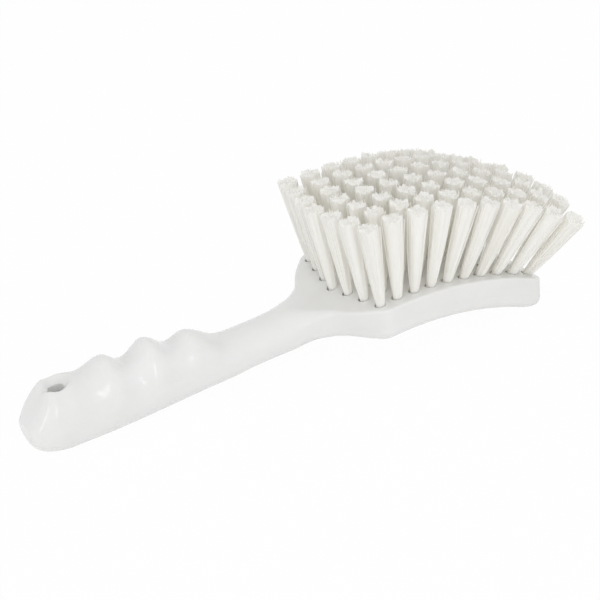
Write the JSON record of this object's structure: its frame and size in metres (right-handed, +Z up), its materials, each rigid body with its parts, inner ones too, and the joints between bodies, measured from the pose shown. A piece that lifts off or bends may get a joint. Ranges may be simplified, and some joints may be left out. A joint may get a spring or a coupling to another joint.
{
  "type": "bee brush",
  "caption": "Short hand brush: one-piece moulded handle with finger grooves and hanging hole, arched block head, fanned bristle tufts held by hidden flat anchors.",
  "frame": {"origin": "middle of the bounding box in plan, on the table that the brush lies on, bristles up", "axes": "+X from the handle's butt to the head's tip, +Y across the head, +Z up, the way the bristles point"},
  "size_m": [0.2906, 0.1224, 0.0758],
  "materials": {
    "moulding": "white moulded polypropylene, smooth satin gloss",
    "bristle": "stiff translucent white filament",
    "anchor_wire": "flat stainless wire, drawn"
  },
  "bodies": {
    "root": {"handle_block": "moulding", "tufts_right": "bristle", "tufts_middle": "bristle", "tufts_left": "bristle", "anchor_1_2": "anchor_wire", "anchor_1_3": "anchor_wire", "anchor_1_4": "anchor_wire", "anchor_1_5": "anchor_wire", "anchor_1_6": "anchor_wire", "anchor_1_7": "anchor_wire", "anchor_1_8": "anchor_wire", "anchor_1_9": "anchor_wire", "anchor_2_2": "anchor_wire", "anchor_2_3": "anchor_wire", "anchor_2_4": "anchor_wire", "anchor_2_5": "anchor_wire", "anchor_2_6": "anchor_wire", "anchor_2_7": "anchor_wire", "anchor_2_8": "anchor_wire", "anchor_2_9": "anchor_wire", "anchor_3_2": "anchor_wire", "anchor_3_3": "anchor_wire", "anchor_3_4": "anchor_wire", "anchor_3_5": "anchor_wire", "anchor_3_6": "anchor_wire", "anchor_3_7": "anchor_wire", "anchor_3_8": "anchor_wire", "anchor_3_9": "anchor_wire", "anchor_4_2": "anchor_wire", "anchor_4_3": "anchor_wire", "anchor_4_4": "anchor_wire", "anchor_4_5": "anchor_wire", "anchor_4_6": "anchor_wire", "anchor_4_7": "anchor_wire", "anchor_4_8": "anchor_wire", "anchor_4_9": "anchor_wire", "anchor_5_2": "anchor_wire", "anchor_5_3": "anchor_wire", "anchor_5_4": "anchor_wire", "anchor_5_5": "anchor_wire", "anchor_5_6": "anchor_wire", "anchor_5_7": "anchor_wire", "anchor_5_8": "anchor_wire", "anchor_5_9": "anchor_wire", "anchor_6_2": "anchor_wire", "anchor_6_3": "anchor_wire", "anchor_6_4": "anchor_wire", "anchor_6_5": "anchor_wire", "anchor_6_6": "anchor_wire", "anchor_6_7": "anchor_wire", "anchor_6_8": "anchor_wire", "anchor_6_9": "anchor_wire", "anchor_7_2": "anchor_wire", "anchor_7_3": "anchor_wire", "anchor_7_4": "anchor_wire", "anchor_7_5": "anchor_wire", "anchor_7_6": "anchor_wire", "anchor_7_7": "anchor_wire", "anchor_7_8": "anchor_wire", "anchor_7_9": "anchor_wire"}
  },
  "joints": []
}
